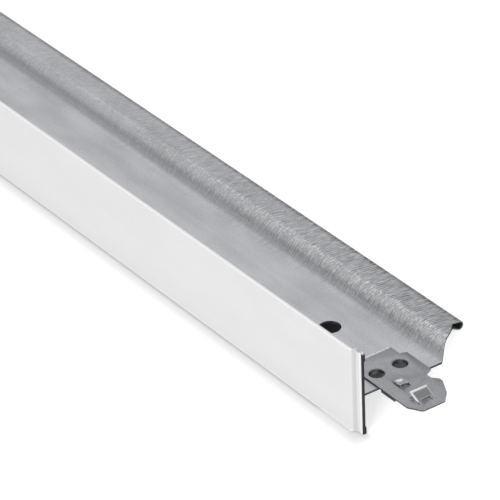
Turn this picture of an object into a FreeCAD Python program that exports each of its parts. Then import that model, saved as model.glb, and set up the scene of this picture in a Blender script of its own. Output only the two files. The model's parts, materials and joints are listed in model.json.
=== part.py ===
import FreeCAD, Part
import math
import os
import re
import Sketcher

# Driving sizes in millimetres and degrees, one spreadsheet cell each.
# "along" runs down the tee from its middle, "depth" from the white face to the bulb,
# and "height" is square to the web, up on the side that carries the near clip.
SIZES = {
    # Tee
    "face_length": 582.0,
    "flange_width": 24.0,
    "tee_height": 38.0,
    "strip_thickness": 0.3,
    "root_radius": 0.4,
    # White cap
    "cap_thickness": 0.3,
    "lip_width": 2.5,
    "fold_radius": 0.28,
    # Stepped flange ends
    "tab_length": 2.8,
    "tab_taper": 0.6,
    "joggle_run": 1.0,
    "joggle_rise": 1.0,
    # Step in the web and band above it
    "step_from_top": 13.0,
    "step_run": 3.1,
    "slope_angle": 52.0,
    "band_angle": 7.5,
    "foot_radius": 1.2,
    "shoulder_radius": 4.6,
    # Hollow bulb
    "bulb_width": 6.8,
    "bulb_depth": 3.05,
    "bulb_flat": 0.12,
    # Coped web ends
    "heel_reach": 0.6,
    "heel_depth": 4.7,
    "cope_start": 0.2,
    "cope_shoulder": 2.3,
    "cope_root": 4.4,
    "cope_reach": 7.7,
    "bulb_cut": 3.4,
    # Holes in the web
    "hanger_hole": 5.8,
    "hanger_depth": 12.85,
    "hanger_inset": 29.2,
    # End clip, outline
    "clip_thickness": 0.45,
    "clip_front": 15.0,
    "clip_back": 12.4,
    "clip_low": 5.6,
    "clip_high": 20.4,
    "chin_along": 3.6,
    "chin_depth": 2.1,
    "nose_drop": 6.0,
    "brow_setback": 2.6,
    "brow_drop": 3.4,
    "ear_setback": 7.3,
    "ear_length": 1.2,
    "ear_drop": 1.0,
    "neck_ramp": 1.6,
    "neck_length": 1.9,
    "neck_drop": 2.4,
    "cheek_ramp": 1.2,
    "notch_along": 7.7,
    "notch_ramp": 0.8,
    "notch_drop": 1.7,
    "nose_radius": 1.2,
    # End clip, stiffening lip along its lower edge
    "lip_start": 1.2,
    "lip_end": 6.5,
    "lip_drop": 0.65,
    # End clip, clinches
    "clinch_diameter": 4.6,
    "clinch_rim": 0.12,
    "clinch_wall": 0.3,
    "clinch_proud": 0.25,
    "clinch_inset": 4.8,
    "clinch_low": 8.85,
    "clinch_high": 16.0,
    "seat_clearance": 0.05,
    # End clip, raised stop
    "stop_width": 2.8,
    "stop_depth": 10.8,
    "stop_back": 0.2,
    "stop_crest": 1.8,
    "stop_front": 3.7,
    "stop_rise": 0.6,
    "stop_slot": 0.9,
    "stop_radius": 0.3,
    # End clip, locking barb
    "barb_setback": 2.5,
    "barb_length": 3.8,
    "barb_width": 4.9,
    "barb_depth": 11.05,
    "barb_rise": 1.8,
    "barb_gap": 0.15,
    "barb_leg": 1.0,
    "slot_before_root": 1.0,
    "slot_past_root": 0.3,
}

# Formulas that several outlines share
HALF = "face_length / 2"
TAB = HALF + " - tab_length"
BEND = TAB + " - joggle_run"
FLANGE_BACK = "cap_thickness + strip_thickness"
HEM_BACK = FLANGE_BACK + " + cap_thickness"
FOOT = "(tee_height - step_from_top)"
SHOULDER = "(tee_height - step_from_top + step_run)"
STEP_RISE = "step_run * tan(slope_angle)"
BULB_ROOT = "(tee_height - bulb_width)"
BULB_INSIDE = "(tee_height - strip_thickness)"
SKIN = "strip_thickness / cos(band_angle)"
BULB_FALL = "((bulb_depth - 2 * " + SKIN + ") / bulb_width + tan(band_angle))"
BULB_RADIUS = ("(bulb_depth - bulb_flat) / (tan(45 - band_angle / 2) + tan(45 deg + atan("
               + BULB_FALL + ") / 2))")
BARREL = "(clinch_diameter - 2 * clinch_rim)"
CLIP_UNDER = "strip_thickness"
CLIP_TOP = "strip_thickness + clip_thickness"
BARB_ROOT = "(clip_front - barb_setback)"
BARB_TIP = "(clip_front - barb_setback - barb_length)"
THROUGH = "flange_width"

doc = FreeCAD.newDocument("ceiling_grid_tee")
sheet = doc.addObject("Spreadsheet::Sheet", "sizes")
for row, (alias, value) in enumerate(SIZES.items(), start=1):
    sheet.set("A%d" % row, alias)
    sheet.set("B%d" % row, str(value))
    sheet.setAlias("B%d" % row, alias)
doc.recompute()


def cells(formula):
    """Turns the plain names of a formula into references to the sheet."""
    return re.sub(r"[a-z_]+", lambda word: "sizes." + word[0] if word[0] in SIZES else word[0], formula)


def band(depth):
    """Height of the middle of the band above the step, at a depth."""
    return STEP_RISE + " - tan(band_angle) * (" + depth + " - " + SHOULDER + ")"


def new_body(label):
    body = doc.addObject("PartDesign::Body", label)
    body.Label = label
    return body


def plane(body, role):
    for feature in body.Origin.OriginFeatures:
        if feature.Role == role:
            return feature
    raise RuntimeError("no plane " + role)


def new_sketch(body, name, role, lift="0"):
    """Empty sketch on an origin plane of its own body, lifted off it by a formula."""
    sketch = body.newObject("Sketcher::SketchObject", name)
    sketch.AttachmentSupport = (plane(body, role), [""])
    sketch.MapMode = "FlatFace"
    sketch.setExpression(".AttachmentOffset.Base.z", cells(lift))
    return sketch


def fix(sketch, kind, *where, formula):
    """Adds one size to a sketch and ties it to a formula of the sheet."""
    index = sketch.addConstraint(Sketcher.Constraint(kind, *where, 1.0))
    sketch.setExpression("Constraints[%d]" % index, cells(formula))


def outline(body, name, role, corners, lift="0"):
    """Closed outline of straight lines whose corners are formulas of the sheet."""
    sketch = new_sketch(body, name, role, lift)
    count = len(corners)
    turns = [2 * math.pi * i / count for i in range(count)]
    ring = [FreeCAD.Vector(math.cos(turn), math.sin(turn), 0) for turn in turns]
    for i in range(count):
        sketch.addGeometry(Part.LineSegment(ring[i], ring[(i + 1) % count]), False)
    for i in range(count):
        sketch.addConstraint(Sketcher.Constraint("Coincident", i, 2, (i + 1) % count, 1))
    for i, (across, up) in enumerate(corners):
        fix(sketch, "DistanceX", i, 1, formula=across)
        fix(sketch, "DistanceY", i, 1, formula=up)
    return sketch


def rectangle(body, name, role, low, high, lift="0"):
    """Outline of a rectangle between two opposite corners."""
    corners = [low, (high[0], low[1]), high, (low[0], high[1])]
    return outline(body, name, role, corners, lift)


def discs(body, name, circles, lift="0"):
    """Circles on the body's XY plane, each an across, an up and a diameter."""
    sketch = new_sketch(body, name, "XY_Plane", lift)
    for i, (across, up, diameter) in enumerate(circles):
        sketch.addGeometry(Part.Circle(FreeCAD.Vector(10 * i, 0, 0), FreeCAD.Vector(0, 0, 1), 1.0), False)
        fix(sketch, "DistanceX", i, 3, formula=across)
        fix(sketch, "DistanceY", i, 3, formula=up)
        fix(sketch, "Diameter", i, formula=diameter)
    return sketch


def settle(body, feature):
    """Makes a new feature the body's tip and stops where it can't be built."""
    body.Tip = feature
    doc.recompute()
    if "Invalid" in feature.State or feature.Shape.isNull() or not feature.Shape.isValid():
        raise RuntimeError(feature.Name + " failed: " + feature.getStatusString())
    return feature


def extrude(body, kind, name, sketch, length, side="Symmetric", reverse=False):
    """Pad or pocket of a sketch, as long as a formula of the sheet says."""
    feature = body.newObject("PartDesign::" + kind, name)
    feature.Profile = sketch
    feature.SideType = side
    feature.Reversed = reverse
    feature.setExpression("Length", cells(length))
    sketch.Visibility = False
    return settle(body, feature)


def mirrored(body, name, originals):
    """The same features again at the far end."""
    feature = body.newObject("PartDesign::Mirrored", name)
    feature.Originals = originals
    feature.MirrorPlane = (plane(body, "YZ_Plane"), [""])
    return settle(body, feature)


def round_edges(body, name, radius, wanted):
    """Fillet on the edges of the tip that the test picks."""
    base = body.Tip
    picked = ["Edge%d" % i for i, edge in enumerate(base.Shape.Edges, start=1) if wanted(edge)]
    if not picked:
        raise RuntimeError("no edges for " + name)
    feature = body.newObject("PartDesign::Fillet", name)
    feature.Base = (base, picked)
    feature.setExpression("Radius", cells(radius))
    return settle(body, feature)


def same(first, second):
    return abs(first - second) < 1e-3


def lengthwise(edge):
    """True for an edge that runs nearly the whole tee."""
    return edge.Length > 0.9 * SIZES["face_length"]


def upright(edge):
    """True for a straight edge square to the web, as on the rim of a flat plate."""
    first, last = edge.Vertexes[0], edge.Vertexes[-1]
    return same(first.X, last.X) and same(first.Y, last.Y) and not same(first.Z, last.Z)


def joggled(low, high, end):
    """Outline of a strip seen along its width, stepped back near both ends."""
    lower = [(end, low + " + joggle_rise"), (TAB, low + " + joggle_rise"), (BEND, low)]
    upper = [(BEND, high), (TAB, high + " + joggle_rise"), (end, high + " + joggle_rise")]
    far_lower = [("-1 * (" + along + ")", depth) for along, depth in reversed(lower)]
    far_upper = [("-1 * (" + along + ")", depth) for along, depth in reversed(upper)]
    return lower + far_lower + far_upper + upper


def taper_tabs(body):
    """Shears the corners off both tabs, so that they are a little narrower at their ends."""
    side = "flange_width / 2"
    beyond = HALF + " + tab_length"
    waste = outline(body, "tab_waste", "XZ_Plane", [
        (TAB, side),
        (beyond, side),
        (beyond, "-1 * " + side),
        (TAB, "-1 * " + side),
        (HALF, "tab_taper - " + side),
        (HALF, side + " - tab_taper"),
    ])
    tapered = extrude(body, "Pocket", "tapered_tab", waste, THROUGH)
    mirrored(body, "tapered_far_tab", [tapered])


# Folded strip: flange, double web, step, band and hollow bulb
def strip_section():
    """Outer line of web and bulb, as depth and height, round from the web's root."""
    foot_shift = "strip_thickness * tan(slope_angle / 2)"
    shift = "strip_thickness / cos((slope_angle + band_angle) / 2)"
    shift_depth = shift + " * sin((slope_angle - band_angle) / 2)"
    shift_height = shift + " * cos((slope_angle - band_angle) / 2)"
    return [
        ("cap_thickness", "strip_thickness"),
        (FOOT + " - " + foot_shift, "strip_thickness"),
        (SHOULDER + " - " + shift_depth, STEP_RISE + " + " + shift_height),
        ("tee_height", band("tee_height") + " + " + SKIN),
        ("tee_height", band("tee_height") + " + " + SKIN + " - bulb_depth"),
        (BULB_ROOT, band(BULB_ROOT) + " - " + SKIN),
        (SHOULDER + " + " + shift_depth, STEP_RISE + " - " + shift_height),
        (FOOT + " + " + foot_shift, "-1 * strip_thickness"),
        ("cap_thickness", "-1 * strip_thickness"),
    ]


def bulb_hollow():
    """Space inside the bulb, one strip thickness in from its outer line."""
    inner_rise = "strip_thickness * (" + BULB_FALL + " + sqrt(1 + " + BULB_FALL + "^2))"
    return [
        (BULB_ROOT, band(BULB_ROOT)),
        (BULB_INSIDE, band(BULB_INSIDE)),
        (BULB_INSIDE, band("tee_height") + " + " + SKIN + " - bulb_depth + " + inner_rise),
    ]


def web_end():
    """What is cut away at the web's near end, as along and depth."""
    beyond = HALF + " + clip_front"
    return [
        (BEND, "cap_thickness"),
        (TAB, "cap_thickness + joggle_rise"),
        (HALF, "cap_thickness + joggle_rise"),
        (HALF + " + heel_reach", "heel_depth"),
        (HALF + " + heel_reach", FOOT + " - cope_start"),
        (HALF + " - cope_shoulder", SHOULDER),
        (HALF + " - cope_root", BULB_ROOT),
        (HALF + " - cope_reach", "tee_height - bulb_cut"),
        (HALF + " - cope_reach", "tee_height + heel_depth"),
        (beyond, "tee_height + heel_depth"),
        (beyond, "-1 * heel_depth"),
        (BEND, "-1 * heel_depth"),
    ]


def folded_strip():
    body = new_body("folded_strip")
    thin = SIZES["strip_thickness"]
    top = SIZES["tee_height"]
    foot = top - SIZES["step_from_top"]
    shoulder = foot + SIZES["step_run"]
    rise = SIZES["step_run"] * math.tan(math.radians(SIZES["slope_angle"]))

    def bend(depth, upper):
        """Picks the lengthwise edge at a depth on the upper or the under side."""
        middle_height = 0 if depth == foot else rise
        return lambda edge: (lengthwise(edge) and abs(edge.CenterOfMass.y - depth) < 2 * thin
                             and (edge.CenterOfMass.z > middle_height) == upper)

    section = outline(body, "section", "YZ_Plane", strip_section())
    extrude(body, "Pad", "web_and_bulb", section, "face_length + 2 * heel_reach")
    hollow = outline(body, "hollow_section", "YZ_Plane", bulb_hollow())
    extrude(body, "Pocket", "bulb_hollow", hollow, "face_length + 4 * heel_reach")
    round_edges(body, "hollow_bends", BULB_RADIUS + " - strip_thickness",
                lambda edge: lengthwise(edge) and same(edge.CenterOfMass.y, top - thin))
    round_edges(body, "bulb_bends", BULB_RADIUS,
                lambda edge: lengthwise(edge) and same(edge.CenterOfMass.y, top))
    round_edges(body, "foot_bend", "foot_radius", bend(foot, True))
    round_edges(body, "foot_bend_back", "foot_radius + 2 * strip_thickness", bend(foot, False))
    round_edges(body, "shoulder_bend_back", "shoulder_radius - 2 * strip_thickness",
                bend(shoulder, False))
    round_edges(body, "shoulder_bend", "shoulder_radius", bend(shoulder, True))

    cope = extrude(body, "Pocket", "coped_end",
                   outline(body, "end_outline", "XY_Plane", web_end()), THROUGH)
    seat = BARREL + " + 2 * seat_clearance"
    holes = discs(body, "hole_centres", [
        (HALF + " - hanger_inset", "hanger_depth", "hanger_hole"),
        (HALF + " - clinch_inset", "clinch_low", seat),
        (HALF + " - clinch_inset", "clinch_high", seat),
    ])
    punched = extrude(body, "Pocket", "punched_holes", holes, THROUGH)
    mirrored(body, "far_end", [cope, punched])

    flange = outline(body, "flange_outline", "XY_Plane", joggled("cap_thickness", FLANGE_BACK, HALF))
    extrude(body, "Pad", "flange", flange, "flange_width - 2 * cap_thickness")
    back = SIZES["cap_thickness"] + thin
    round_edges(body, "root_bends", "root_radius",
                lambda edge: lengthwise(edge) and same(edge.CenterOfMass.y, back)
                and same(abs(edge.CenterOfMass.z), thin))
    taper_tabs(body)
    return body


# White cap: thin prepainted strip, hemmed round the flange
def face_cap():
    body = new_body("face_cap")
    past_end = HALF + " + tab_length"
    block = outline(body, "hem_outline", "XY_Plane", joggled("0", HEM_BACK, HALF))
    extrude(body, "Pad", "hem_block", block, "flange_width")
    room = outline(body, "flange_space_outline", "XY_Plane",
                   joggled("cap_thickness", FLANGE_BACK, past_end))
    extrude(body, "Pocket", "flange_space", room, "flange_width - 2 * cap_thickness")
    mouth = outline(body, "mouth_outline", "XY_Plane",
                    joggled("cap_thickness", HEM_BACK + " + cap_thickness", past_end))
    extrude(body, "Pocket", "mouth", mouth, "flange_width - 2 * lip_width")
    side = SIZES["flange_width"] / 2
    round_edges(body, "hem_folds", "fold_radius",
                lambda edge: same(abs(edge.CenterOfMass.z), side)
                and not same(edge.Vertexes[0].X, edge.Vertexes[-1].X))
    taper_tabs(body)
    return body


# End clip: stab-in plate, clinched to the web
def clip_outline():
    """Outline of the plate, with along counted from the flange's end."""
    ear_front = "clip_front - ear_setback"
    ear_back = ear_front + " - ear_length"
    neck_front = ear_back + " - neck_ramp"
    neck_back = neck_front + " - neck_length"
    return [
        ("-1 * clip_back", "clip_low"),
        ("clip_front - chin_along", "clip_low"),
        ("clip_front", "clip_low + chin_depth"),
        ("clip_front", "clip_high - nose_drop"),
        ("clip_front - brow_setback", "clip_high - brow_drop"),
        (ear_front, "clip_high - ear_drop"),
        (ear_back, "clip_high - ear_drop"),
        (neck_front, "clip_high - neck_drop"),
        (neck_back, "clip_high - neck_drop"),
        (neck_back + " - cheek_ramp", "clip_high"),
        ("-1 * notch_along", "clip_high"),
        ("-1 * notch_along - notch_ramp", "clip_high - notch_drop"),
        ("-1 * clip_back", "clip_high - notch_drop"),
    ]


def raised_stop(body):
    """Rounded stop, pressed up from the plate and open towards the nose."""
    crest = CLIP_TOP + " + stop_rise"
    side = "-1 * stop_depth"
    stop = outline(body, "stop_outline", "XZ_Plane", [
        ("stop_back", CLIP_TOP + " - clip_thickness / 2"),
        ("stop_back", CLIP_TOP),
        ("stop_crest", crest),
        ("stop_front", crest),
        ("stop_front", CLIP_TOP + " - clip_thickness / 2"),
    ], side)
    extrude(body, "Pad", "stop_pressing", stop, "stop_width")
    top = SIZES["strip_thickness"] + SIZES["clip_thickness"]
    round_edges(body, "stop_bends", "stop_radius",
                lambda edge: edge.CenterOfMass.z > top + 0.2 * SIZES["stop_rise"]
                and not same(edge.CenterOfMass.x, SIZES["stop_front"]))
    hollow = outline(body, "stop_hollow_outline", "XZ_Plane", [
        ("stop_back + clip_thickness", CLIP_UNDER + " - clip_thickness"),
        ("stop_crest + clip_thickness / 2", crest + " - clip_thickness"),
        ("stop_front + clip_thickness", crest + " - clip_thickness"),
        ("stop_front + clip_thickness", CLIP_UNDER + " - clip_thickness"),
    ], side)
    extrude(body, "Pocket", "stop_hollow", hollow, "stop_width - clip_thickness")
    slot = rectangle(body, "stop_slot_outline", "XY_Plane",
                     ("stop_front", "stop_depth - stop_width / 2"),
                     ("stop_front + stop_slot", "stop_depth + stop_width / 2"))
    extrude(body, "Pocket", "stop_slot", slot, THROUGH)


def locking_barb(body):
    """Tongue lanced from the plate, raised towards the web that it locks behind."""
    low = "barb_depth - barb_width / 2"
    high = "barb_depth + barb_width / 2"
    window = rectangle(body, "barb_window_outline", "XY_Plane",
                       (BARB_TIP + " - barb_gap", low + " - barb_gap"),
                       (BARB_ROOT, high + " + barb_gap"))
    extrude(body, "Pocket", "barb_window", window, THROUGH)
    tongue = outline(body, "barb_outline", "XZ_Plane", [
        (BARB_ROOT, CLIP_UNDER),
        (BARB_ROOT, CLIP_TOP),
        (BARB_TIP, CLIP_TOP + " + barb_rise"),
        (BARB_TIP, CLIP_UNDER + " + barb_rise"),
    ], "-1 * barb_depth")
    extrude(body, "Pad", "barb", tongue, "barb_width")
    relief = rectangle(body, "barb_slot_outline", "XY_Plane",
                       (BARB_ROOT + " - slot_before_root", low + " + barb_leg"),
                       (BARB_ROOT + " + slot_past_root", high + " - barb_leg"))
    extrude(body, "Pocket", "barb_slot", relief, THROUGH)


def clinches(body):
    """Two eyelets drawn from the plate, which hold it in the web's holes."""
    places = [("-1 * clinch_inset", "clinch_low"), ("-1 * clinch_inset", "clinch_high")]
    barrels = discs(body, "barrel_centres", [place + (BARREL,) for place in places], CLIP_UNDER)
    extrude(body, "Pad", "clinch_barrels", barrels, "2 * strip_thickness + clinch_proud",
            side="One side", reverse=True)
    bore = BARREL + " - 2 * clinch_wall"
    bores = discs(body, "bore_centres", [place + (bore,) for place in places])
    extrude(body, "Pocket", "clinch_bores", bores, THROUGH)
    top = SIZES["strip_thickness"] + SIZES["clip_thickness"]
    round_edges(body, "clinch_rims", "clinch_wall + clinch_rim",
                lambda edge: same(edge.CenterOfMass.z, top) and isinstance(edge.Curve, Part.Circle)
                and edge.CenterOfMass.x < 0)


def end_clip(label):
    body = new_body(label)
    plate = outline(body, "plate_outline", "XY_Plane", clip_outline(), CLIP_UNDER)
    extrude(body, "Pad", "plate", plate, "clip_thickness", side="One side")
    front = SIZES["clip_front"] - SIZES["chin_along"]
    round_edges(body, "nose_bends", "nose_radius",
                lambda edge: upright(edge) and edge.CenterOfMass.x > front - 1e-3)
    lip = rectangle(body, "lip_outline", "XY_Plane", ("lip_start", "clip_low"),
                    ("lip_end", "clip_low + clip_thickness"), CLIP_UNDER + " + clip_thickness / 2")
    extrude(body, "Pad", "stiffening_lip", lip, "clip_thickness / 2 + lip_drop",
            side="One side", reverse=True)
    raised_stop(body)
    locking_barb(body)
    clinches(body)
    return body


strip = folded_strip()
cap = face_cap()
near_clip = end_clip("end_clip_near")
far_clip = end_clip("end_clip_far")


# Pose: the tee lies on its side, on the lower lips of its flange tabs and on its bulb
def lying_pose():
    """Turns the tee about its length until lips and bulb touch the floor, centred over it."""
    fold = SIZES["fold_radius"]
    half_width = SIZES["flange_width"] / 2
    band_fall = math.tan(math.radians(SIZES["band_angle"]))
    rise = SIZES["step_run"] * math.tan(math.radians(SIZES["slope_angle"]))
    band_length = SIZES["step_from_top"] - SIZES["step_run"]
    skin = SIZES["strip_thickness"] * math.hypot(1, band_fall)
    corner = rise - band_fall * band_length + skin - SIZES["bulb_depth"]
    bulb_fall = band_fall + (SIZES["bulb_depth"] - 2 * skin) / SIZES["bulb_width"]
    upper_turn = math.pi / 4 - math.atan(band_fall) / 2
    lower_turn = math.pi / 4 + math.atan(bulb_fall) / 2
    ball_radius = ((SIZES["bulb_depth"] - SIZES["bulb_flat"])
                   / (math.tan(upper_turn) + math.tan(lower_turn)))
    ball = FreeCAD.Vector(0, SIZES["tee_height"] - ball_radius,
                          corner + ball_radius * (bulb_fall + math.hypot(1, bulb_fall)))
    lip_back = 2 * SIZES["cap_thickness"] + SIZES["strip_thickness"] + SIZES["joggle_rise"]
    toe = FreeCAD.Vector(0, lip_back - fold, fold - half_width)
    span = ball - toe
    lean = math.atan2(span.z, span.y) - math.asin((ball_radius - fold) / span.Length)
    turn = FreeCAD.Rotation(FreeCAD.Vector(1, 0, 0), -math.degrees(lean))
    front = turn.multVec(FreeCAD.Vector(0, fold, fold - half_width)).y - fold
    back = turn.multVec(ball).y + ball_radius
    floor = turn.multVec(toe).z - fold
    return FreeCAD.Placement(FreeCAD.Vector(0, -(front + back) / 2, -floor), turn)


pose = lying_pose()
end = FreeCAD.Vector(SIZES["face_length"] / 2, 0, 0)
half_turn = FreeCAD.Rotation(FreeCAD.Vector(0, 1, 0), 180)
strip.Placement = pose
cap.Placement = pose
near_clip.Placement = pose.multiply(FreeCAD.Placement(end, FreeCAD.Rotation()))
far_clip.Placement = pose.multiply(FreeCAD.Placement(-end, half_turn))
doc.recompute()

for item in doc.Objects:
    if "Invalid" in item.State or "Error" in item.State:
        raise RuntimeError(item.Label + " failed")

os.makedirs("parts", exist_ok=True)
for body in (strip, cap, near_clip, far_clip):
    if body.Shape.isNull() or not body.Shape.isValid():
        raise RuntimeError(body.Label + " has no valid shape")
    body.Shape.exportStep("parts/" + body.Label + ".step")
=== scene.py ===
"""Looks of a ceiling grid cross tee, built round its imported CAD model."""

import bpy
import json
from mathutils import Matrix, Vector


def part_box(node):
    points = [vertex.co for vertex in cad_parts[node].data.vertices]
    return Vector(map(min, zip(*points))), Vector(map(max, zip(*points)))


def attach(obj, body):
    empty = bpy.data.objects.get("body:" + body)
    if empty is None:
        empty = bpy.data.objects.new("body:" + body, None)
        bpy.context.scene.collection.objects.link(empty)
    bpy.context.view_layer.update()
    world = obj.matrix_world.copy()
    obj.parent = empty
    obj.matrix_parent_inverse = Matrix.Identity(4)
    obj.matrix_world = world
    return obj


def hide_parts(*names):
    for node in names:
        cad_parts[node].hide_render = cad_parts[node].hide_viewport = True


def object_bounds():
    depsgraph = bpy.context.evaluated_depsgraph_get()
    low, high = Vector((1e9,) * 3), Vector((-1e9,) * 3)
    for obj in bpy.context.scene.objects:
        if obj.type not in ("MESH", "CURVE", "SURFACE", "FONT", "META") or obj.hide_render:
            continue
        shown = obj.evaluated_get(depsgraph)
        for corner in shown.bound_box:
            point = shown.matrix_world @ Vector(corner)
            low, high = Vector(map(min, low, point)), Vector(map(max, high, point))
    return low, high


bl_info = {
    "name": "Ceiling Grid Tee",
    "version": (1, 0, 0),
    "blender": (4, 5, 0),
    "location": "View3D > Sidebar > Grid Tee",
    "description": "Galvanised cross tee with a white cap and stab-in end clips, in a plain studio",
    "category": "Object",
}

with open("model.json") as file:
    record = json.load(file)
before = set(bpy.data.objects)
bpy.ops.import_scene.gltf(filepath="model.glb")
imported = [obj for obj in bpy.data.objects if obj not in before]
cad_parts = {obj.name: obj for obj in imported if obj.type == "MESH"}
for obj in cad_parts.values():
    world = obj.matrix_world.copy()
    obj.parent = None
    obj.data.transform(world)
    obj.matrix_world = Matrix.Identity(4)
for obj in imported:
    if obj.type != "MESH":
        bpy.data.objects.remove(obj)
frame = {"nodes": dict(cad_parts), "record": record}

import json
import math

import bmesh
import bpy
from mathutils import Euler, Matrix, Vector, noise

CAD_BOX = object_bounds()
MM = 0.001
MOUNTS = {mount["name"]: mount for mount in frame["record"]["mounts"]}

# The tee's own axes, as it lies: along its length, from the white face to the bulb, square to the web
FACE = MOUNTS["visible_face"]
FACE_MIDDLE = Vector(FACE["pos_m"])
LENGTH_WAY = Vector((1.0, 0.0, 0.0))
DEPTH_WAY = -Vector(FACE["axis"]).normalized()
HEIGHT_WAY = Vector(MOUNTS["hanger_hole_near"]["axis"]).normalized()
LEAN = math.atan2(DEPTH_WAY.z, DEPTH_WAY.y)
TEE_AXES = Matrix.Translation(FACE_MIDDLE) @ Matrix.Rotation(LEAN, 4, "X")
TO_TEE = TEE_AXES.inverted()

# Meshes
SAME_PLACE = 1e-6                     # corners that are nearer than this are one
SNAP = 2e-6                           # the same, once the lines are cut
ON_PLANE = 1e-8                       # corners that are nearer to a cut lie on it
FLAT_ANGLE = math.radians(0.05)       # faces that bend less are one flat face
SHARP_ANGLE = math.radians(32)        # edges that bend more are drawn sharp
CLIP_CORNER_ANGLE = math.radians(50)  # a clip's edges that bend more are rounded
LONG_SHARE = 0.85                     # a face that runs along the tee has at least this share of its length

# Pressed lines. They lie half a pitch apart, and every second one is pressed in
KNURL_ROW = 1.3 * MM     # rows into which the lines are divided, so that each can come and go
KNURL_EDGE = 0.55 * MM   # least width of a strip that a row leaves beside it
KNURL_SPLIT = 12         # parts into which the skin is divided, and each part again
KNURL_FADE = 1.2 * MM    # run over which the lines begin
KNURL_DASH = 1.5 * MM    # length of one dash of a line
KNURL_SHARE = 0.62       # share of its full depth that a line has on average
KNURL_SPREAD = 0.9       # how far its dashes go from that average
KNURL_CHANGE = 0.61      # how much the dashes change from one line to the next
KNURL_WANDER = 0.2       # how far a line wanders, as a share of the pitch
KNURL_SWAY = 0.37        # how much the wandering changes from one line to the next
DASH_SLICE = 3.0         # the dashes and the wandering are read from two slices of one noise
SWAY_SLICE = 0.0

# Limits of the finishes and of the painted shade and highlights, in millimetres. A mask rises from the
# first limit to the second
LINES_START = (-4.5, 2.4)                            # depth from the start of the pressed lines
LINES_GROW = (110.0, 270.0)                          # the marks are stronger near the tee's ends
RIDGE_RISE, RIDGE_FALL = (24.0, 27.6), (30.6, 29.2)  # painted highlight on the ridge above the step
RIDGE_CALM = (30.6, 28.6)                            # the marks are weaker from the ridge down
SLOPE_RISE, SLOPE_FALL = (25.6, 27.3), (29.0, 28.0)  # painted highlight on the slope of the step
# painted highlight at the foot of the step
STEP_FOOT_RISE, STEP_FOOT_FALL = (24.5, 25.1), (26.1, 25.4)
BULB_TURN = (35.6, 36.9)                             # where the bulb turns away, which gets painted shade
FLANGE_END, BULB_END = (1.2, 3.0), (31.0, 33.5)      # between them the sheared end is the web's; painted shade darkens the flange and web ends, painted light lightens the bulb's end
CLIP_REAR = (0.8, 0.5)                               # painted highlight along the clip's rear end, along the tee, from that end
CLIP_RAISED = (0.85, 1.2)                            # from the web's middle: barb and stop are higher, and their edges get wider painted highlights
# painted highlights on the barb's tip and side
BARB_TIP_LIFT, BARB_TIP_ALONG = (2.2, 2.4), (298.0, 299.0)
BARB_SIDE_DEPTH, BARB_SIDE_LIFT = (9.05, 8.85), (0.95, 1.25)
# painted highlight spot on the crest of the stop
STOP_ALONG, STOP_DEPTH = 292.5, 10.8                 # middle of the raised stop
STOP_SPOT, STOP_LIFT = (1.3, 0.3), (0.9, 1.1)        # the spot's limits are squares of a distance
# painted highlight on the cap's folds
FOLD_DEPTH, FOLD_WIDTH = (0.5, 0.35), (11.35, 11.6)
# painted shade on the hem behind the folds
HEM_DEPTH, HEM_WIDTH = (0.45, 0.75), (11.4, 11.7)
BEND_RISE, BEND_FALL = (3.6, 3.1), (2.2, 2.7)        # painted shade on the bend of the cap's step, from the cap's end, as are the next three
# painted highlight at the cap's tip
CAP_TIP = (1.5, 1.1)
# the cap's cut faces, dark as cut steel with painted shade
CAP_CUT = (0.3, 0.1)
# painted shade along the cap's end
CAP_END_SHADE = (0.5, 0.38)

# Strengths of the finishes and of the painted shade and highlights
ZINC_CONTRAST, CLIP_CONTRAST = 0.2, 0.16
SPECKLE_SHARE, STREAK_SHARE, CLOUD_SHARE = 0.6, 0.12, 0.28
ZINC_UNEVEN, PAINT_UNEVEN = 0.14, 0.12         # how far the roughness varies
MIDDLE_SHARE = 0.4                             # what is left of the marks at the tee's middle
CALM_SHARE = -0.5                              # what the ridge takes from the marks
DASH_SHARE, PIT_SHARE = 0.6, 0.4               # of the marks
MARK_SHARE, GROOVE_SHARE = 0.45, 0.55          # of the dark in the lines: roll marks, and painted shade in the pressed grooves
GLINT_SHARE, STROKE_SHARE = 0.75, 0.3          # of the painted highlight between the lines
SLOPE_SHARE, STEP_FOOT_SHARE = 0.25, 0.225     # of the painted highlight on the step
# strength of the painted shade where the bulb turns away
BULB_SHADE = 0.42
DUST_SHARE = 0.05
SPECKLE_HEIGHT, MARK_HEIGHT = 0.35, 1.6        # of the strip's relief
STRIP_RELIEF, SMOOTH_RELIEF = 0.02 * MM, 0.004 * MM
# widths of the painted highlight on the clips' edges
HIGHLIGHT_WIDTH, RAISED_HIGHLIGHT_WIDTH = 0.1 * MM, 0.55 * MM
# the last is the metallic of the clips' painted highlights
STRIP_METAL, CLIP_METAL, HIGHLIGHT_METAL = 0.92, 0.95, 0.05
# the last is the roughness change on the clips' painted highlights
SHEARED_ROUGHER, HIGHLIGHT_ROUGHER = 0.5, -0.1
COAT, COAT_ROUGHNESS = 0.15, 0.2
FLOOR_ROUGHNESS = 0.9

# Limits of the shade on the floor, in millimetres
TONGUE_SHADE_MIDDLE = -1.0         # where the middle line of a tongue's shade runs
TONGUE_SHADE_SIDE = (6.8, 1.8)     # from that line
TONGUE_SHADE_REACH = (-17.0, 6.0)  # how far the shade goes beside and under a tongue, from the strip's end
SHADE_END = (1.0, -3.0)            # from there
SHADE_FACE_SIDE = (-1.0, 1.0)      # from the strip's side at the white face
SHADE_BULB_SIDE = (-5.5, -10.5)    # from the strip's side at the bulb
FOOT_END = (4.0, -3.0)             # the foot of the white face, from the strip's end
FOOT_FRONT = (-7.0, 0.5)           # from the strip's side at the white face, as is the next
FOOT_BACK = (3.0, 1.0)
FOOT_SHARE = 0.82

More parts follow.
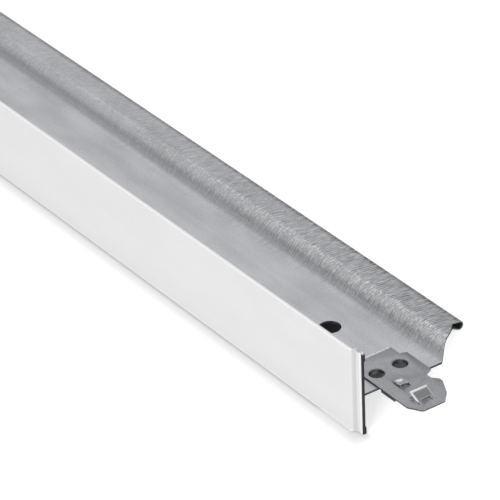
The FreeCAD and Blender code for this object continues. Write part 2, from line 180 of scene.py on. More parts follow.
# Colours that aren't in the panel
BLACK = (0.0, 0.0, 0.0, 1.0)
WHITE = (1.0, 1.0, 1.0, 1.0)
# painted shade in the pressed grooves and where the bulb turns away, over the roll marks
GROOVE_SHADE_AND_MARKS = (0.1, 0.1, 0.105, 1.0)
# painted highlight: glints on the ridge, strokes, and the slope and foot of the step
PAINTED_HIGHLIGHT = (0.9, 0.9, 0.91, 1.0)
# cut steel edges: near black at the flange end and the cap's cut, dark at the web end and the clips' sides,
# as painted shade; lighter at the bulb's end, as painted light
SHEARED_EDGE_DEEP_SHADE = (0.02, 0.02, 0.022, 1.0)
SHEARED_EDGE_SHADE = (0.08, 0.08, 0.083, 1.0)
SHEARED_BULB_PAINTED_LIGHT = (0.32, 0.325, 0.33, 1.0)
# painted highlight on the clips' edges, rear end, barb and stop
CLIP_HIGHLIGHT = (0.95, 0.95, 0.96, 1.0)
DUST = (0.3, 0.3, 0.32, 1.0)
# painted highlights on the cap's folds and tip
FOLD_HIGHLIGHT = (0.97, 0.97, 0.975, 1.0)
TIP_HIGHLIGHT = (0.96, 0.96, 0.965, 1.0)
# painted shade on the bend of the cap's step and on its hem
BEND_SHADE = (0.66, 0.66, 0.665, 1.0)
HEM_SHADE = (0.5, 0.5, 0.51, 1.0)
OPEN_FLOOR = (0.82, 0.82, 0.82, 1.0)
SHADED_FLOOR = (0.35, 0.35, 0.35, 1.0)

# Studio
SENSOR_WIDTH = 36.0
KEY_PLACE, KEY_SIZE = (-1.0, 1.3, 1.15), 1.4
FILL_PLACE, FILL_SIZE = (1.1, -1.5, 1.0), 1.0
BACK_WAY = (0.0, 1.0, 0.0)
SKY_TURN = (-0.75, 0.1)  # the surroundings go from their front level to their back level between these

# Sockets of a Mix node that mixes colours
MIX_FACTOR, MIX_FIRST, MIX_SECOND, MIX_RESULT = 0, 6, 7, 2


# Sizes and colours that a user would change

class TeeStripSettings(bpy.types.PropertyGroup):
    """Finish of the folded strip"""

    colour: bpy.props.FloatVectorProperty(
        name="Zinc", description="Colour of the galvanised strip", subtype="COLOR",
        default=(0.565, 0.578, 0.606), min=0, max=1)
    roughness: bpy.props.FloatProperty(
        name="Roughness", description="Roughness of the zinc", default=0.42, min=0, max=1, subtype="FACTOR")
    knurl_start: bpy.props.FloatProperty(
        name="Knurl Start", description="Depth from the white face at which the pressed lines begin",
        default=24.6 * MM, unit="LENGTH")
    knurl_pitch: bpy.props.FloatProperty(
        name="Knurl Pitch", description="Distance from one pressed line to the next",
        default=0.9 * MM, unit="LENGTH")
    knurl_depth: bpy.props.FloatProperty(
        name="Knurl Depth", description="Depth of the pressed lines", default=0.05 * MM, unit="LENGTH")


class TeeCapSettings(bpy.types.PropertyGroup):
    """Finish of the white cap"""

    colour: bpy.props.FloatVectorProperty(
        name="Paint", description="Colour of the prepainted face", subtype="COLOR",
        default=(0.84, 0.84, 0.845), min=0, max=1)
    roughness: bpy.props.FloatProperty(
        name="Roughness", description="Roughness of the paint", default=0.38, min=0, max=1,
        subtype="FACTOR")


class TeeClipSettings(bpy.types.PropertyGroup):
    """Finish of the end clips"""

    colour: bpy.props.FloatVectorProperty(
        name="Clip Steel", description="Colour of the zinc coated clips", subtype="COLOR",
        default=(0.345, 0.352, 0.37), min=0, max=1)
    roughness: bpy.props.FloatProperty(
        name="Roughness", description="Roughness of the clips", default=0.34, min=0, max=1,
        subtype="FACTOR")
    edge_round: bpy.props.FloatProperty(
        name="Edge Rounding", description="Rounding of the clips' sheared edges",
        default=0.05 * MM, unit="LENGTH")


class TeeStudioSettings(bpy.types.PropertyGroup):
    """Camera, floor and lights"""

    camera_place: bpy.props.FloatVectorProperty(
        name="Camera Place", description="Where the camera stands", subtype="TRANSLATION", unit="LENGTH",
        default=(0.86171699, -0.25288061, 0.59755977))
    camera_turn: bpy.props.FloatVectorProperty(
        name="Camera Turn", description="How the camera is turned", subtype="EULER", unit="ROTATION",
        default=tuple(math.radians(turn) for turn in (46.8821592, 17.88246584, 52.34780991)))
    lens: bpy.props.FloatProperty(
        name="Lens", description="Focal length in millimetres on a 36 mm sensor", default=254.4028)
    floor_size: bpy.props.FloatProperty(
        name="Floor Size", description="Side of the square floor", default=8.0, unit="LENGTH")
    floor_glow: bpy.props.FloatProperty(
        name="Floor Glow", description="Light that the floor adds, unseen by matt surfaces",
        default=0.62, min=0)
    back_light: bpy.props.FloatProperty(
        name="Back Light", description="Brightness of the surroundings behind the tee",
        default=0.635, min=0)
    front_light: bpy.props.FloatProperty(
        name="Front Light", description="Brightness of the surroundings in front of the tee",
        default=0.5, min=0)
    key_power: bpy.props.FloatProperty(
        name="Key Lamp", description="Power of the lamp above and behind", default=3.1, unit="POWER")
    fill_power: bpy.props.FloatProperty(
        name="Fill Lamp", description="Power of the lamp in front", default=16.5, unit="POWER")


# Node helpers

def add(tree, kind, inputs=None, **settings):
    """Adds a node. An input is a value, or another node's output to link."""
    node = tree.nodes.new(kind)
    for name, value in settings.items():
        setattr(node, name, value)
    for socket, value in (inputs or {}).items():
        if isinstance(value, bpy.types.NodeSocket):
            tree.links.new(value, node.inputs[socket])
        else:
            node.inputs[socket].default_value = value
    return node


def maths(tree, operation, *values, clamp=False):
    """Result of a Math node."""
    node = add(tree, "ShaderNodeMath", dict(enumerate(values)), operation=operation, use_clamp=clamp)
    return node.outputs[0]


def times(tree, first, *others):
    """Product of some values."""
    for other in others:
        first = maths(tree, "MULTIPLY", first, other)
    return first


def greatest(tree, first, *others):
    """The greatest of some values."""
    for other in others:
        first = maths(tree, "MAXIMUM", first, other)
    return first


def raised(tree, level, value, share, clamp=True):
    """A level with a share of a value added, kept from 0 to 1 unless clamp is False."""
    return maths(tree, "MULTIPLY_ADD", value, share, level, clamp=clamp)


def summed(tree, *parts):
    """Sum of some values, each given with its share."""
    total = 0.0
    for value, share in parts:
        total = raised(tree, total, value, share, clamp=False)
    return total


def rest_of(tree, value):
    """What a value leaves of 1."""
    return maths(tree, "SUBTRACT", 1.0, value)


def without_sign(tree, value):
    """How far a value is from 0."""
    return maths(tree, "ABSOLUTE", value)


def dot_of(tree, first, second):
    """Dot product of two directions."""
    node = add(tree, "ShaderNodeVectorMath", {0: first, 1: second}, operation="DOT_PRODUCT")
    return node.outputs["Value"]


def blended(tree, factor, first, second):
    """Colour that goes from the first to the second."""
    inputs = {MIX_FACTOR: factor, MIX_FIRST: first, MIX_SECOND: second}
    return add(tree, "ShaderNodeMix", inputs, data_type="RGBA").outputs[MIX_RESULT]


def between(tree, value, low, high, to_low=0.0, to_high=1.0):
    """Smooth step from one level to another, as a value goes from low to high."""
    node = add(tree, "ShaderNodeMapRange",
               {"Value": value, "From Min": low, "From Max": high, "To Min": to_low, "To Max": to_high},
               interpolation_type="SMOOTHSTEP")
    return node.outputs["Result"]


def level(tree, mask, clear, full):
    """Goes from one value to another as a mask goes from 0 to 1."""
    return between(tree, mask, low=0.0, high=1.0, to_low=clear, to_high=full)


def hump(tree, value, rise, fall):
    """Mask of one value that rises between two limits and falls between two others."""
    return times(tree, between(tree, value, *rise), between(tree, value, *fall))


def from_edge(edge, limits):
    """Limits that are given from an edge, as places."""
    return [edge + limit for limit in limits]


def split_axes(tree, place):
    """The three coordinates of a place."""
    parts = add(tree, "ShaderNodeSeparateXYZ", {0: place})
    return parts.outputs["X"], parts.outputs["Y"], parts.outputs["Z"]


def noise_at(tree, place, size, detail=2.0, rough=0.5):
    """Noise from 0 to 1, with grains as large as size along each of the tee's axes, in millimetres."""
    squeezed = add(tree, "ShaderNodeMapping", {"Vector": place, "Scale": tuple(1 / s for s in size)})
    node = add(tree, "ShaderNodeTexNoise",
               {"Vector": squeezed.outputs[0], "Scale": 1.0, "Detail": detail, "Roughness": rough})
    return node.outputs["Fac"]


def spots(tree, place, size, limits, **grain):
    """Mask of noise that rises between two limits."""
    return between(tree, noise_at(tree, place, size, **grain), *limits)


def tee_place(tree):
    """Place on the tee's own axes, in millimetres."""
    coordinates = add(tree, "ShaderNodeTexCoord")
    mapping = add(tree, "ShaderNodeMapping",
                  {"Vector": coordinates.outputs["Object"], "Location": FACE_MIDDLE,
                   "Rotation": (LEAN, 0.0, 0.0), "Scale": (MM, MM, MM)}, vector_type="TEXTURE")
    return mapping.outputs[0]


def bump(tree, height, distance):
    """Normals of a fine relief."""
    return add(tree, "ShaderNodeBump", {"Height": height, "Distance": distance}).outputs["Normal"]


# Node groups

def new_group(name, inputs, outputs):
    """Empty shader node group with named sockets, and its input and output nodes."""
    tree = bpy.data.node_groups.new(name, "ShaderNodeTree")
    for label, kind in inputs:
        tree.interface.new_socket(label, in_out="INPUT", socket_type=kind)
    for label, kind in outputs:
        tree.interface.new_socket(label, in_out="OUTPUT", socket_type=kind)
    return tree, tree.nodes.new("NodeGroupInput"), tree.nodes.new("NodeGroupOutput")


def give_out(tree, result, **values):
    """Links values to the outputs of a group."""
    for label, value in values.items():
        tree.links.new(value, result.inputs[label])


def grouped(tree, name, make, inputs):
    """Adds a node group by name, and makes it the first time that it is asked for."""
    kept = bpy.data.node_groups.get(name) or make(name)
    return add(tree, "ShaderNodeGroup", inputs, node_tree=kept)


def zinc_grain(name):
    """Fine mottle and rolling streaks of zinc coated steel."""
    tree, given, result = new_group(
        name,
        [("Place", "NodeSocketVector"), ("Colour", "NodeSocketColor"),
         ("Contrast", "NodeSocketFloat"), ("Roughness", "NodeSocketFloat")],
        [("Colour", "NodeSocketColor"), ("Roughness", "NodeSocketFloat"), ("Height", "NodeSocketFloat")])
    place = given.outputs["Place"]
    plain = given.outputs["Colour"]
    speckle = noise_at(tree, place, size=(0.45, 0.3, 0.3), detail=3.0, rough=0.6)
    streak = noise_at(tree, place, size=(38.0, 0.9, 0.9), detail=3.0, rough=0.55)
    cloud = noise_at(tree, place, size=(16.0, 7.0, 7.0))
    mottle = summed(tree, (speckle, SPECKLE_SHARE), (streak, STREAK_SHARE), (cloud, CLOUD_SHARE))
    shade = between(tree, mottle, low=0.36, high=0.64)
    dark = blended(tree, given.outputs["Contrast"], plain, BLACK)
    off_middle = maths(tree, "SUBTRACT", 0.5, shade)
    rough = raised(tree, given.outputs["Roughness"], off_middle, ZINC_UNEVEN)
    give_out(tree, result, Colour=blended(tree, shade, dark, plain), Roughness=rough, Height=speckle)
    return tree


def side_mask(name):
    """1 where the surface faces along a direction or against it, 0 where it lies along it."""
    tree, given, result = new_group(
        name, [("Direction", "NodeSocketVector")], [("Mask", "NodeSocketFloat")])
    geometry = add(tree, "ShaderNodeNewGeometry")
    turned = without_sign(tree, dot_of(tree, geometry.outputs["Normal"], given.outputs["Direction"]))
    give_out(tree, result, Mask=between(tree, turned, low=0.45, high=0.75))
    return tree


def edge_highlight(name):
    """Mask of the outer edges, broken up by noise, where a painted highlight goes."""
    tree, given, result = new_group(
        name, [("Place", "NodeSocketVector"), ("Width", "NodeSocketFloat")],
        [("Mask", "NodeSocketFloat")])
    geometry = add(tree, "ShaderNodeNewGeometry")
    bevel = add(tree, "ShaderNodeBevel", {"Radius": given.outputs["Width"]}, samples=4)
    turned = dot_of(tree, geometry.outputs["Normal"], bevel.outputs[0])
    bent = between(tree, turned, low=0.995, high=0.9)
    broken = spots(tree, given.outputs["Place"], size=(1.2, 1.2, 1.2), limits=(0.35, 0.6), detail=3.0)
    give_out(tree, result, Mask=times(tree, bent, broken))
    return tree


def pressed_lines(name):
    """Marks of the pressing roll, square to the length, with painted shade in the grooves and where the
    bulb turns away, and painted highlights on the ridge and the step.
    """
    tree, given, result = new_group(
        name,
        [("Place", "NodeSocketVector"), ("Start", "NodeSocketFloat"), ("Pressed", "NodeSocketFloat")],
        [("Height", "NodeSocketFloat"), ("Dark", "NodeSocketFloat"), ("Bright", "NodeSocketFloat")])
    place = given.outputs["Place"]
    pressed = given.outputs["Pressed"]
    length, depth, _ = split_axes(tree, place)
    past_start = maths(tree, "SUBTRACT", depth, given.outputs["Start"])
    near_end = between(tree, without_sign(tree, length), *LINES_GROW, to_low=MIDDLE_SHARE)
    mask = times(tree, between(tree, past_start, *LINES_START), near_end)

    dashes = spots(tree, place, size=(0.44, 3.8, 3.8), limits=(0.4, 0.6))
    pits = spots(tree, place, size=(0.45, 0.45, 0.45), limits=(0.38, 0.62), rough=0.6)
    marks = summed(tree, (dashes, DASH_SHARE), (pits, PIT_SHARE))
    calm = raised(tree, 1.0, between(tree, depth, *RIDGE_CALM), CALM_SHARE)
    # roll marks, and painted shade in the pressed grooves
    dark = times(tree, summed(tree, (marks, MARK_SHARE), (pressed, GROOVE_SHARE)), calm)
    # painted shade where the bulb turns away
    bulb_turn_shade = times(tree, between(tree, depth, *BULB_TURN), BULB_SHADE)

    # painted highlights: glints on the ridge, strokes between the lines, and the step's slope and foot
    glints = spots(tree, place, size=(0.3, 0.9, 0.9), limits=(0.5, 0.62))
    strokes = spots(tree, place, size=(0.4, 4.2, 4.2), limits=(0.5, 0.62), detail=1.0)
    ridge = times(tree, hump(tree, depth, RIDGE_RISE, RIDGE_FALL), glints)
    bright = summed(tree, (ridge, GLINT_SHARE), (strokes, STROKE_SHARE))
    bright = times(tree, bright, rest_of(tree, pressed))
    slope = hump(tree, depth, SLOPE_RISE, SLOPE_FALL)
    foot = hump(tree, depth, STEP_FOOT_RISE, STEP_FOOT_FALL)
    step = summed(tree, (slope, SLOPE_SHARE), (foot, STEP_FOOT_SHARE))

    give_out(tree, result, Height=times(tree, marks, mask), Dark=raised(tree, bulb_turn_shade, dark, mask),
             Bright=raised(tree, step, bright, mask))
    return tree


def paint_skin(name):
    """Faint unevenness and dust of baked enamel."""
    tree, given, result = new_group(
        name,
        [("Place", "NodeSocketVector"), ("Colour", "NodeSocketColor"), ("Roughness", "NodeSocketFloat")],
        [("Colour", "NodeSocketColor"), ("Roughness", "NodeSocketFloat"), ("Height", "NodeSocketFloat")])
    place = given.outputs["Place"]
    plain = given.outputs["Colour"]
    peel = noise_at(tree, place, size=(1.1, 1.1, 1.1))
    dust = noise_at(tree, place, size=(26.0, 9.0, 9.0), detail=4.0, rough=0.6)
    dusty = blended(tree, DUST_SHARE, plain, DUST)
    colour = blended(tree, between(tree, dust, low=0.3, high=0.7), dusty, plain)
    off_middle = maths(tree, "SUBTRACT", dust, 0.5)
    rough = raised(tree, given.outputs["Roughness"], off_middle, PAINT_UNEVEN)
    give_out(tree, result, Colour=colour, Roughness=rough, Height=peel)
    return tree


# Materials

def new_material(name):
    """Empty material, and its node tree."""
    material = bpy.data.materials.new(name)
    material.use_nodes = True
    material.node_tree.nodes.clear()
    return material, material.node_tree


def put_out(tree, inputs):
    """Puts a Principled BSDF with some inputs on the material's output."""
    shader = add(tree, "ShaderNodeBsdfPrincipled", inputs)
    add(tree, "ShaderNodeOutputMaterial", {"Surface": shader.outputs[0]})


def zinc(tree, place, settings, contrast):
    """Colour, roughness and relief of zinc, as it is set in the panel."""
    grain = grouped(tree, "zinc_grain", zinc_grain,
                    {"Place": place, "Colour": (*settings.colour, 1.0), "Contrast": contrast,
                     "Roughness": settings.roughness})
    return grain.outputs["Colour"], grain.outputs["Roughness"], grain.outputs["Height"]


def facing(tree, direction):
    """1 where the surface faces along a direction or against it, 0 where it lies along it."""
    return grouped(tree, "side_mask", side_mask, {"Direction": direction}).outputs["Mask"]


def strip_material(settings):
    """Galvanised sheet: mottled zinc, pressed lines above the step with painted shade and highlights, and
    sheared ends painted dark with painted shade, lighter at the bulb's end with painted light.
    """
    material, tree = new_material("galvanised_strip")
    place = tee_place(tree)
    _, depth, _ = split_axes(tree, place)
    plain, rough, speckle = zinc(tree, place, settings, ZINC_CONTRAST)
    pressed = add(tree, "ShaderNodeAttribute", attribute_name="pressed").outputs["Fac"]
    lines = grouped(tree, "pressed_lines", pressed_lines,
                    {"Place": place, "Start": settings.knurl_start / MM, "Pressed": pressed})
    ends = facing(tree, LENGTH_WAY)
    # sheared ends: painted shade at the flange and web ends, painted light at the bulb's end
    sheared = blended(tree, between(tree, depth, *FLANGE_END), SHEARED_EDGE_DEEP_SHADE, SHEARED_EDGE_SHADE)
    sheared = blended(tree, between(tree, depth, *BULB_END), sheared, SHEARED_BULB_PAINTED_LIGHT)
    # painted shade in the grooves and at the bulb's turn, then painted highlights on the ridge and the step
    lined = blended(tree, lines.outputs["Dark"], plain, GROOVE_SHADE_AND_MARKS)
    lined = blended(tree, lines.outputs["Bright"], lined, PAINTED_HIGHLIGHT)
    height = summed(tree, (speckle, SPECKLE_HEIGHT), (lines.outputs["Height"], MARK_HEIGHT))
    put_out(tree, {"Base Color": blended(tree, ends, lined, sheared),
                   "Roughness": raised(tree, rough, ends, SHEARED_ROUGHER),
                   "Metallic": level(tree, ends, clear=STRIP_METAL, full=0.0),
                   "Normal": bump(tree, height, STRIP_RELIEF)})
    return material


def clip_material(settings):
    """Smooth zinc coated spring steel, with painted shade on its sheared sides and painted highlights on
    its edges, rear end, barb and stop.
    """
    material, tree = new_material("clip_steel")
    place = tee_place(tree)
    length, depth, lift = split_axes(tree, place)
    off_middle = without_sign(tree, length)
    lift = without_sign(tree, lift)
    plain, rough, speckle = zinc(tree, place, settings, CLIP_CONTRAST)
    low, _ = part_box("end_clip_near")
    # painted highlight along the rear end, broken up by noise
    rear = times(tree, between(tree, off_middle, *from_edge(low.x / MM, CLIP_REAR)),
                 spots(tree, place, size=(0.8, 0.8, 0.8), limits=(0.3, 0.5)))
    wide = between(tree, lift, *CLIP_RAISED, HIGHLIGHT_WIDTH, RAISED_HIGHLIGHT_WIDTH)
    edge_highlights = grouped(tree, "edge_highlight", edge_highlight, {"Place": place, "Width": wide}).outputs["Mask"]
    # painted highlights on the barb's tip and side, and a painted highlight spot on the stop's crest
    barb_tip_highlight = times(tree, between(tree, lift, *BARB_TIP_LIFT),
                     between(tree, off_middle, *BARB_TIP_ALONG))
    barb_side_highlight = times(tree, between(tree, depth, *BARB_SIDE_DEPTH), between(tree, lift, *BARB_SIDE_LIFT))
    off_stop = [maths(tree, "SUBTRACT", off_middle, STOP_ALONG), maths(tree, "SUBTRACT", depth, STOP_DEPTH)]
    squared = summed(tree, *((off, off) for off in off_stop))
    stop = times(tree, between(tree, lift, *STOP_LIFT), between(tree, squared, *STOP_SPOT))
    highlight_mask = greatest(tree, edge_highlights, rear, stop, barb_tip_highlight, barb_side_highlight)
    # sheared sides darkened with painted shade
    whole = blended(tree, facing(tree, HEIGHT_WAY), SHEARED_EDGE_SHADE, plain)
    put_out(tree, {"Base Color": blended(tree, highlight_mask, whole, CLIP_HIGHLIGHT),
                   "Roughness": raised(tree, rough, highlight_mask, HIGHLIGHT_ROUGHER),
                   "Metallic": level(tree, highlight_mask, clear=CLIP_METAL, full=HIGHLIGHT_METAL),
                   "Normal": bump(tree, speckle, SMOOTH_RELIEF)})
    return material


def cap_material(settings):
    """Baked white enamel, a little glossy, with painted highlights on the folds and the tip, painted shade
    on the hem and the bend of the step, and dark where it is cut, with painted shade beside the cut.
    """
    material, tree = new_material("white_cap")
    place = tee_place(tree)
    length, depth, lift = split_axes(tree, place)
    lift = without_sign(tree, lift)
    skin = grouped(tree, "paint_skin", paint_skin,
                   {"Place": place, "Colour": (*settings.colour, 1.0), "Roughness": settings.roughness})
    _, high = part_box("face_cap")
    to_end = maths(tree, "SUBTRACT", high.x / MM, without_sign(tree, length))
    # painted highlight on the folds and painted shade on the hem
    fold_highlight_mask = times(tree, between(tree, depth, *FOLD_DEPTH), between(tree, lift, *FOLD_WIDTH))
    hem_shade_mask = times(tree, between(tree, depth, *HEM_DEPTH), between(tree, lift, *HEM_WIDTH))
    painted = blended(tree, fold_highlight_mask, skin.outputs["Colour"], FOLD_HIGHLIGHT)
    painted = blended(tree, hem_shade_mask, painted, HEM_SHADE)
    # painted shade on the bend of the step, and a painted highlight at the tip
    painted = blended(tree, hump(tree, to_end, BEND_RISE, BEND_FALL), painted, BEND_SHADE)
    painted = blended(tree, between(tree, to_end, *CAP_TIP), painted, TIP_HIGHLIGHT)
    # the cut faces and a band beside the cut: dark cut steel with painted shade
    cut = greatest(tree, times(tree, facing(tree, LENGTH_WAY), between(tree, to_end, *CAP_CUT)),
                   between(tree, to_end, *CAP_END_SHADE))
    put_out(tree, {"Base Color": blended(tree, cut, painted, SHEARED_EDGE_DEEP_SHADE),
                   "Roughness": raised(tree, skin.outputs["Roughness"], cut, SHEARED_ROUGHER),
                   "Normal": bump(tree, skin.outputs["Height"], SMOOTH_RELIEF),
                   "Coat Weight": COAT,
                   "Coat Roughness": COAT_ROUGHNESS})
    return material


# Meshes

def merged_copy(node):
    """The CAD node's mesh as a new bmesh, merged, with its flat faces whole again."""
    made = bmesh.new()
    made.from_mesh(frame["nodes"][node].data)
    bmesh.ops.remove_doubles(made, verts=made.verts, dist=SAME_PLACE)
    bmesh.ops.dissolve_limit(made, angle_limit=FLAT_ANGLE, verts=made.verts, edges=made.edges,
                             use_dissolve_boundaries=False, delimit=set())
    return made


def bent_edges(made, angle):
    """Edges whose two faces bend more than an angle."""
    return [edge for edge in made.edges if len(edge.link_faces) == 2 and edge.calc_face_angle(0) > angle]


def new_object(made, name, material):
    """Turns a bmesh into an object of the scene."""
    mesh = bpy.data.meshes.new(name)
    made.to_mesh(mesh)
    made.free()
    mesh.materials.append(material)
    new = bpy.data.objects.new(name, mesh)
    bpy.context.scene.collection.objects.link(new)
    return new


def finished(made, name, material, nodes):
    """Turns a bmesh into a piece that stands for CAD nodes and rides on the tee."""
    for face in made.faces:
        face.smooth = True
    for edge in made.edges:
        edge.smooth = True
    for edge in bent_edges(made, SHARP_ANGLE):
        edge.smooth = False
    piece = new_object(made, name, material)
    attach(piece, "root")
    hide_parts(*nodes)


def depth_of(point):
    """How far a point is from the white face, towards the bulb."""
    return (TO_TEE @ point).y


def depths(face):
    """The least and the greatest depth of a face's corners."""
    found = sorted(depth_of(corner.co) for corner in face.verts)
    return found[0], found[-1]


def once(items):
    """Items without repeats, in the order in which they come, so that each run gives the same mesh."""
    return list(dict.fromkeys(items))


def around(faces):
    """Faces with their edges and corners, as a cut asks for."""
    edges = once(edge for face in faces for edge in face.edges)
    corners = once(corner for face in faces for corner in face.verts)
    return [*corners, *edges, *faces]


def along(item):
    """How far an edge or a face reaches along the tee."""
    places = [corner.co.x for corner in item.verts]
    return max(places) - min(places)


def runs(item):
    """Whether an edge or a face runs nearly the whole tee."""
    return along(item) > LONG_SHARE * (CAD_BOX[1].x - CAD_BOX[0].x)


def skin_along(made):
    """Faces of the outer skin that run nearly the whole tee, joined one to the next round the section."""
    tip = max(made.verts, key=lambda corner: depth_of(corner.co))
    found = [face for face in tip.link_faces if runs(face)]
    seen = set(found)
    for face in found:
        for edge in face.edges:
            if runs(edge):
                new = [other for other in edge.link_faces if other not in seen and runs(other)]
                seen.update(new)
                found.extend(new)
    return found


def cut_across(made, faces, place, way):
    """Cuts some faces along a plane, and gives back all of them."""
    cut = bmesh.ops.bisect_plane(made, geom=around(faces), dist=ON_PLANE, plane_co=place, plane_no=way)
    return [item for item in cut["geom"] if isinstance(item, bmesh.types.BMFace)]


def upper_skin(made, start):
    """Cuts the upper skin at the knurl's start and into rows past it, and gives back their faces."""
    faces = cut_across(made, skin_along(made), FACE_MIDDLE + DEPTH_WAY * start, DEPTH_WAY)
    faces = [face for face in faces
             if face.normal.dot(HEIGHT_WAY) > 0 and depths(face)[0] > start - SAME_PLACE]
    last = max(depths(face)[1] for face in faces)
    for row in range(1, int((last - start) / KNURL_ROW)):
        depth = start + row * KNURL_ROW
        wide = [face for face in faces
                if depths(face)[0] < depth - KNURL_EDGE and depths(face)[1] > depth + KNURL_EDGE]
        faces = [face for face in faces if face not in wide]
        faces += cut_across(made, wide, FACE_MIDDLE + DEPTH_WAY * depth, DEPTH_WAY)
    return faces


def divide_along(made, faces, run, splits):
    """Divides faces that run along the tee into many short ones, and their neighbours' edges with them."""
    edges = once(edge for face in faces for edge in face.edges if abs(along(edge) - run) < SAME_PLACE)
    rims = [edge for edge in edges if not all(face in faces for face in edge.link_faces)]
    apart = bmesh.ops.split(made, geom=around(faces))["geom"]
    edges = [item for item in apart if isinstance(item, bmesh.types.BMEdge)]
    length = run
    for split in splits:
        long_ones = [edge for edge in edges if abs(along(edge) - length) < SAME_PLACE]
        cut = bmesh.ops.subdivide_edges(made, edges=long_ones, cuts=split - 1, use_grid_fill=True)
        parts = once((*cut["geom_split"], *long_ones))
        edges = [item for item in parts if isinstance(item, bmesh.types.BMEdge)]
        length /= split
    count = math.prod(splits)
    for edge in rims:
        first, last = edge.verts
        start, end = first.co.copy(), last.co.copy()
        for part in range(1, count):
            rest = next(item for item in first.link_edges if item.other_vert(first) is last)
            first = bmesh.utils.edge_split(rest, first, 0.5)[1]
            first.co = start.lerp(end, part / count)
    bmesh.ops.remove_doubles(made, verts=made.verts, dist=SNAP)


def press_lines(made, settings):
    """Cuts the upper skin past the knurl's start into fine lines, and presses every second one in."""
    faces = upper_skin(made, settings.knurl_start)
    ends = [abs(corner.co.x) for face in faces if runs(face) for corner in face.verts]
    reach = min(ends) - settings.knurl_pitch
    lines = 2 * reach / (settings.knurl_pitch / 2)
    splits = (KNURL_SPLIT, KNURL_SPLIT, round(lines / KNURL_SPLIT ** 2))
    last_line = math.prod(splits) // 2
    step = reach / last_line
    for line in range(last_line, int(max(ends) / step) + 1):
        for side in (1, -1):
            faces = cut_across(made, faces, LENGTH_WAY * (side * line * step), LENGTH_WAY * side)
    divide_along(made, faces, 2 * reach, splits)
    many_sided = [face for face in made.faces if len(face.verts) > 4]
    bmesh.ops.triangulate(made, faces=many_sided, quad_method="BEAUTY", ngon_method="BEAUTY")
    made.normal_update()
    press_in(made, settings, step, last_line)


def press_in(made, settings, step, last_line):
    """Presses every second line in, deeper in its dashes, and lets the lines wander.
    The last line of each end stays straight, as do the few past it."""
    pressed = made.verts.layers.float.new("pressed")
    for corner in made.verts:
        line = round(corner.co.x / step)
        depth = depth_of(corner.co) - settings.knurl_start
        on_line = abs(corner.co.x - line * step) < SNAP and depth > SAME_PLACE
        if on_line and corner.normal.dot(HEIGHT_WAY) > 0:
            patch = noise.noise(Vector((line * KNURL_CHANGE, depth / KNURL_DASH, DASH_SLICE)))
            dash = min(1.0, max(0.0, KNURL_SHARE + KNURL_SPREAD * patch))
            share = dash * min(1.0, depth / KNURL_FADE)
            if line % 2:
                corner.co -= corner.normal * settings.knurl_depth * share
                corner[pressed] = share
            if abs(line) < last_line:
                sway = noise.noise(Vector((line * KNURL_SWAY, depth / KNURL_DASH / 2, SWAY_SLICE)))
                corner.co.x += sway * KNURL_WANDER * settings.knurl_pitch


# Stage

def place_camera(scene, settings):
    """Puts the camera where the photo was taken from."""
    data = bpy.data.cameras.new("camera")
    data.sensor_width = SENSOR_WIDTH
    data.lens = settings.lens
    camera = bpy.data.objects.new("camera", data)
    turn = Euler(settings.camera_turn, "XYZ").to_matrix().to_4x4()
    camera.matrix_world = Matrix.Translation(settings.camera_place) @ turn
    scene.collection.objects.link(camera)
    scene.camera = camera


def seen_directly(tree):
    """1 for rays from the camera, in mirrors and through glass, else 0."""
    path = add(tree, "ShaderNodeLightPath")
    rays = ("Is Camera Ray", "Is Glossy Ray", "Is Transmission Ray")
    return greatest(tree, *(path.outputs[ray] for ray in rays))


def off_footprint(tree):
    """Two masks that are 1 beside the tee. The first is 0 under the tee and the roots of its tongues,
    and the second is also low along the foot of the white face."""
    low, high = (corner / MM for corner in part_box("folded_strip"))
    coordinates = add(tree, "ShaderNodeTexCoord").outputs["Object"]
    place = add(tree, "ShaderNodeMapping", {"Vector": coordinates, "Scale": (1 / MM, 1 / MM, 1 / MM)})
    length, across, _ = split_axes(tree, place.outputs[0])
    off_middle = without_sign(tree, length)
    off_tongue = without_sign(tree, maths(tree, "SUBTRACT", across, TONGUE_SHADE_MIDDLE))
    reach = between(tree, off_tongue, *TONGUE_SHADE_SIDE, *from_edge(high.x, TONGUE_SHADE_REACH))
    under = times(tree, between(tree, maths(tree, "SUBTRACT", off_middle, reach), *SHADE_END),
                  between(tree, across, *from_edge(low.y, SHADE_FACE_SIDE)),
                  between(tree, across, *from_edge(high.y, SHADE_BULB_SIDE)))
    foot = times(tree, between(tree, off_middle, *from_edge(high.x, FOOT_END)),
                 between(tree, across, *from_edge(low.y, FOOT_FRONT)),
                 between(tree, across, *from_edge(low.y, FOOT_BACK)), FOOT_SHARE)
    return rest_of(tree, under), rest_of(tree, greatest(tree, under, foot))


def lay_floor(settings):
    """Lays a pale matt floor that is shaded where the tee lies on it."""
    made = bmesh.new()
    bmesh.ops.create_grid(made, x_segments=1, y_segments=1, size=settings.floor_size / 2)
    material, tree = new_material("floor")
    away, clear = off_footprint(tree)
    put_out(tree, {"Base Color": blended(tree, away, SHADED_FLOOR, OPEN_FLOOR),
                   "Roughness": FLOOR_ROUGHNESS,
                   "Specular IOR Level": 0.0,
                   "Emission Color": WHITE,
                   "Emission Strength": times(tree, seen_directly(tree), settings.floor_glow, clear)})
    floor = new_object(made, "floor", material)


def hang_lamp(scene, name, place, size, power):
    """Square soft lamp that looks at the tee."""
    data = bpy.data.lights.new(name, "AREA")
    data.shape = "SQUARE"
    data.size = size
    data.energy = power
    lamp = bpy.data.objects.new(name, data)
    turn = Vector(place).normalized().to_track_quat("Z", "Y").to_matrix().to_4x4()
    lamp.matrix_world = Matrix.Translation(place) @ turn
    scene.collection.objects.link(lamp)


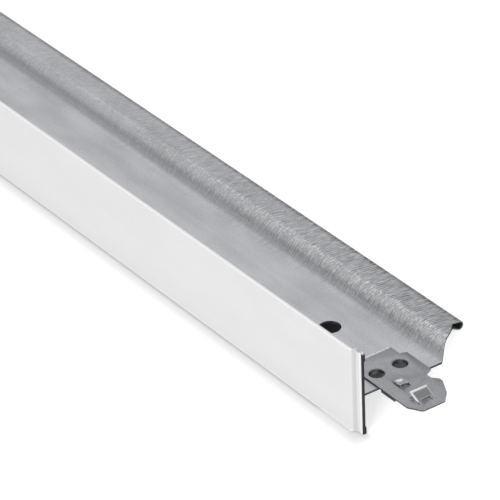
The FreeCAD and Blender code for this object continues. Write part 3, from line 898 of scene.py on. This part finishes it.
def light_surroundings(scene, settings):
    """Even surroundings, brighter behind the tee than in front."""
    world = bpy.data.worlds.new("surroundings")
    world.use_nodes = True
    tree = world.node_tree
    tree.nodes.clear()
    way = add(tree, "ShaderNodeTexCoord").outputs["Generated"]
    level = between(tree, dot_of(tree, way, BACK_WAY), *SKY_TURN, settings.front_light, settings.back_light)
    background = add(tree, "ShaderNodeBackground", {"Color": WHITE, "Strength": level})
    add(tree, "ShaderNodeOutputWorld", {"Surface": background.outputs[0]})
    scene.world = world


# Add-on

class TEE_OT_folded_strip(bpy.types.Operator):
    """Makes the folded strip, with the lines that the rolls press into its upper part"""

    bl_idname = "tee.folded_strip"
    bl_label = "Folded Strip"

    def execute(self, context):
        settings = context.scene.tee_strip
        made = merged_copy("folded_strip")
        press_lines(made, settings)
        finished(made, "knurled_strip", strip_material(settings), ["folded_strip"])
        return {"FINISHED"}


class TEE_OT_face_cap(bpy.types.Operator):
    """Gives the white cap its enamel"""

    bl_idname = "tee.face_cap"
    bl_label = "White Cap"

    def execute(self, context):
        made = merged_copy("face_cap")
        finished(made, "white_face_cap", cap_material(context.scene.tee_cap), ["face_cap"])
        return {"FINISHED"}


class TEE_OT_end_clips(bpy.types.Operator):
    """Makes both end clips with rounded edges"""

    bl_idname = "tee.end_clips"
    bl_label = "End Clips"

    def execute(self, context):
        settings = context.scene.tee_clip
        material = clip_material(settings)
        for end in ("near", "far"):
            made = merged_copy("end_clip_" + end)
            bmesh.ops.bevel(made, geom=bent_edges(made, CLIP_CORNER_ANGLE), offset=settings.edge_round,
                            offset_type="OFFSET", affect="EDGES", segments=2, profile=0.5, material=-1,
                            clamp_overlap=True)
            finished(made, "clip_" + end, material, ["end_clip_" + end])
        return {"FINISHED"}


class TEE_OT_studio(bpy.types.Operator):
    """Sets up camera, floor, lamps and surroundings"""

    bl_idname = "tee.studio"
    bl_label = "Studio"

    def execute(self, context):
        settings = context.scene.tee_studio
        scene = context.scene
        scene.view_settings.view_transform = "Standard"
        place_camera(scene, settings)
        lay_floor(settings)
        hang_lamp(scene, "key_lamp", KEY_PLACE, KEY_SIZE, settings.key_power)
        hang_lamp(scene, "fill_lamp", FILL_PLACE, FILL_SIZE, settings.fill_power)
        light_surroundings(scene, settings)
        return {"FINISHED"}


class TEE_PT_sidebar(bpy.types.Panel):
    """Grid tee panel"""

    bl_label = "Grid Tee"
    bl_idname = "TEE_PT_sidebar"
    bl_space_type = "VIEW_3D"
    bl_region_type = "UI"
    bl_category = "Grid Tee"

    def draw(self, context):
        for operator, name, _ in STEPS:
            box = self.layout.box()
            settings = getattr(context.scene, name)
            for setting in settings.__annotations__:
                box.prop(settings, setting)
            box.operator(operator.bl_idname)


STEPS = (
    (TEE_OT_studio, "tee_studio", TeeStudioSettings),
    (TEE_OT_folded_strip, "tee_strip", TeeStripSettings),
    (TEE_OT_face_cap, "tee_cap", TeeCapSettings),
    (TEE_OT_end_clips, "tee_clip", TeeClipSettings),
)


def register():
    """Registers the settings, their operators and the panel."""
    for operator, name, settings in STEPS:
        bpy.utils.register_class(settings)
        setattr(bpy.types.Scene, name, bpy.props.PointerProperty(type=settings))
        bpy.utils.register_class(operator)
    bpy.utils.register_class(TEE_PT_sidebar)


def unregister():
    """Takes back what register did."""
    bpy.utils.unregister_class(TEE_PT_sidebar)
    for operator, name, settings in reversed(STEPS):
        bpy.utils.unregister_class(operator)
        delattr(bpy.types.Scene, name)
        bpy.utils.unregister_class(settings)


def main():
    register()
    bpy.ops.tee.studio()
    bpy.ops.tee.folded_strip()
    bpy.ops.tee.face_cap()
    bpy.ops.tee.end_clips()


if __name__ == "__main__":
    main()
